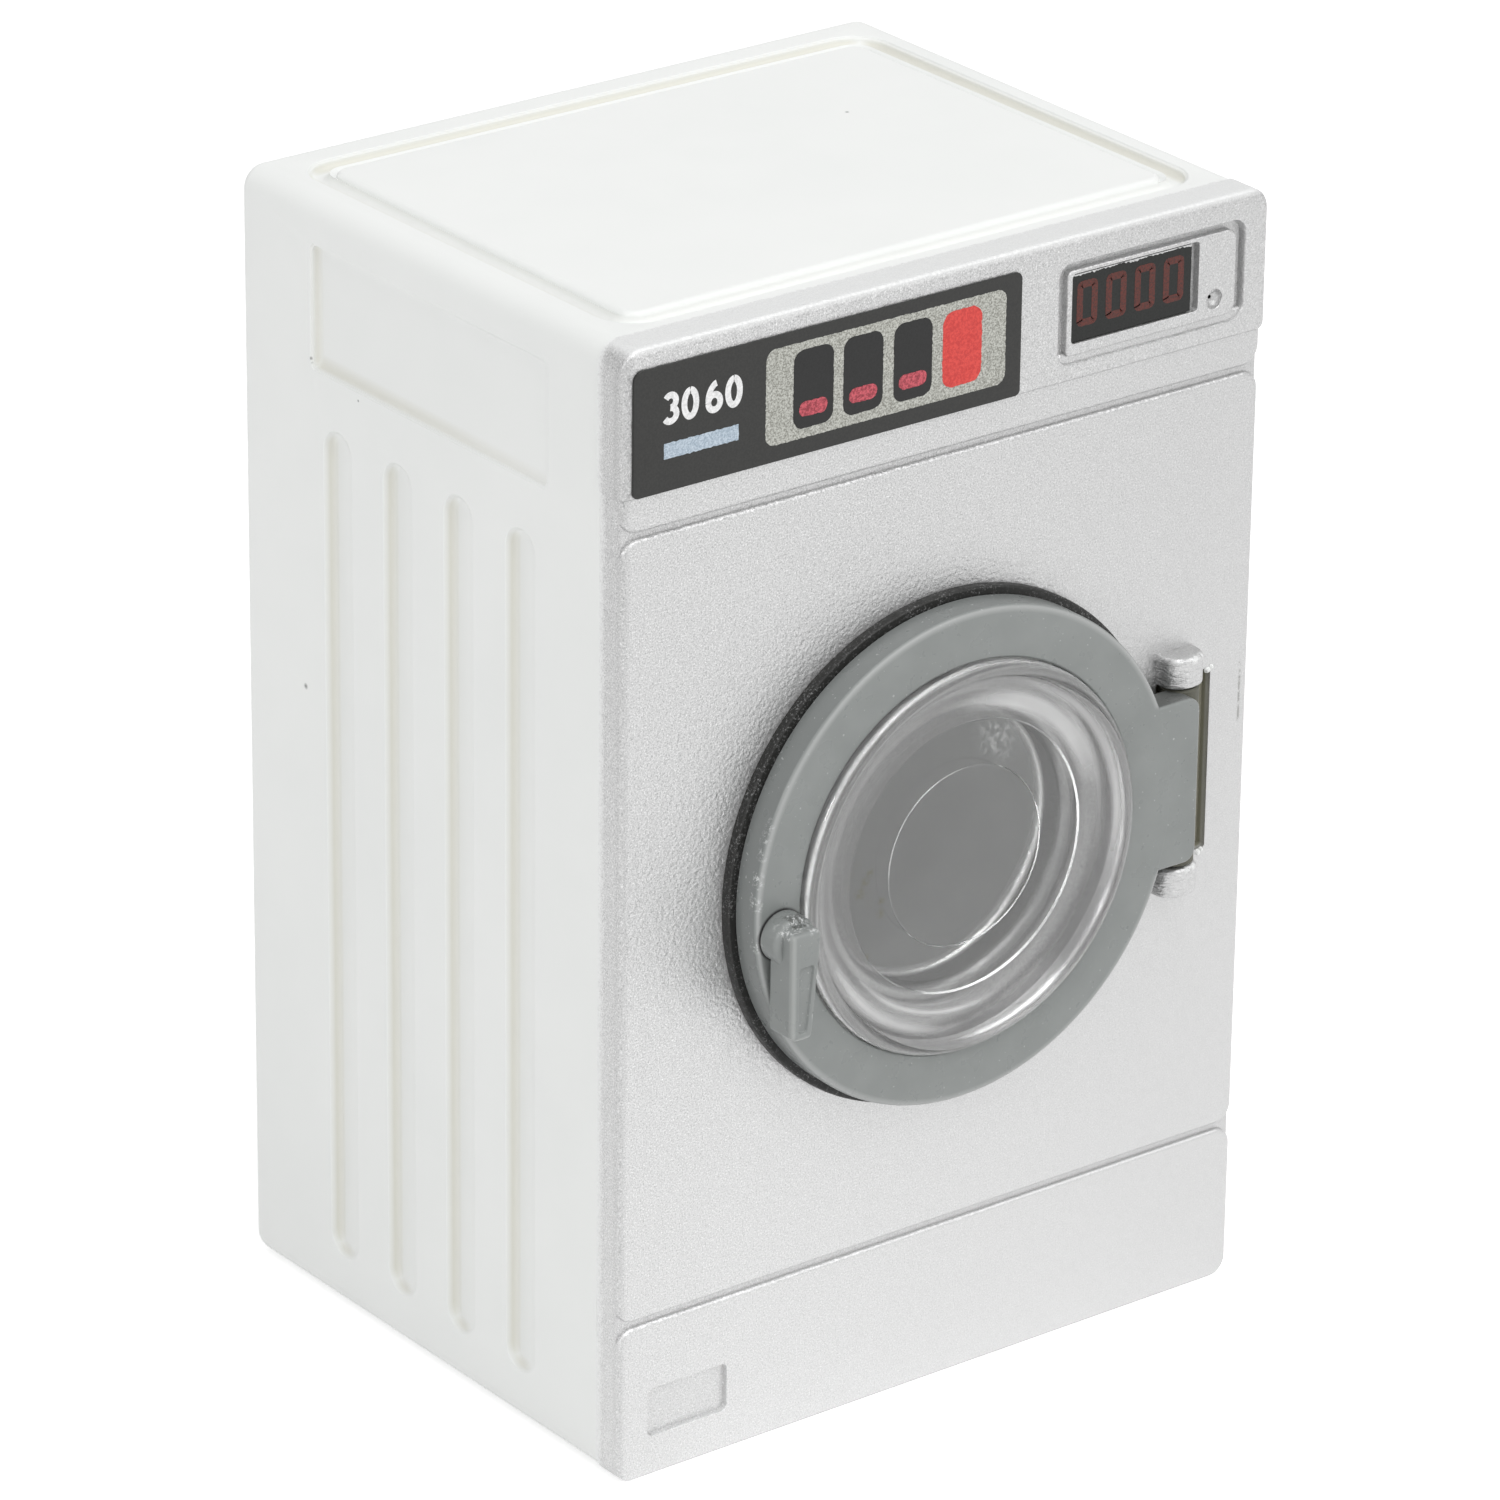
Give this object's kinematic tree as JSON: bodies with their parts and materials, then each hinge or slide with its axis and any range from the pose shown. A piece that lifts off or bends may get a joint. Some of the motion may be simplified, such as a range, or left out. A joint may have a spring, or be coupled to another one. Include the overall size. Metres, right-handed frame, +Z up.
{
  "type": "dollhouse washer dryer",
  "caption": "Dollhouse front-loading washer dryer with a slotted cabinet, a round hinged door with a clear window, a turning handle and a drum.",
  "frame": {"origin": "middle of the cabinet's base, on the surface that it stands on", "axes": "+Z up, the door faces -Y, +X to the right seen from the front, where the door is hinged"},
  "size_m": [0.0396, 0.0363, 0.06],
  "materials": {
    "white_shell": "satin white moulded plastic, slightly translucent",
    "silver_paint": "fine-grained metallic silver paint on moulded plastic",
    "control_print": "printed film: black with a grey field, three dark buttons and a red one",
    "display_print": "printed film: black with four dim red seven-segment digits",
    "black_seal": "matte black, dusted with silver overspray",
    "grey_plastic": "satin mid-grey moulded plastic",
    "drum_plastic": "light grey moulded plastic",
    "clear_window": "clear moulded polystyrene",
    "steel": "bright steel wire and zinc-plated screws"
  },
  "bodies": {
    "cabinet": {"cabinet_shell": "white_shell", "front_panel": "silver_paint", "rear_cover": "white_shell", "control_label": "control_print", "display_label": "display_print", "door_seal": "black_seal", "hinge_pin": "steel", "case_screw_1": "steel", "case_screw_2": "steel", "case_screw_3": "steel", "case_screw_4": "steel"},
    "door": {"door_ring": "grey_plastic", "door_window": "clear_window"},
    "handle": {"door_handle": "grey_plastic"},
    "drum": {"drum": "drum_plastic", "drum_washer": "steel", "drum_axle_screw": "steel"}
  },
  "joints": [
    {"name": "door_hinge", "type": "hinge", "parent": "cabinet", "child": "door", "pos_m": [0.01479, -0.01633, 0.03012], "axis": [0, 0, 1], "range_deg": [0, 130]},
    {"name": "handle_turn", "type": "hinge", "parent": "door", "child": "handle", "pos_m": [-0.01157, -0.01808, 0.02873], "axis": [0, 1, 0], "range_deg": [0, 90]},
    {"name": "drum_spin", "type": "hinge", "parent": "cabinet", "child": "drum", "pos_m": [0, 0, 0.02972], "axis": [0, 1, 0], "continuous": true}
  ]
}
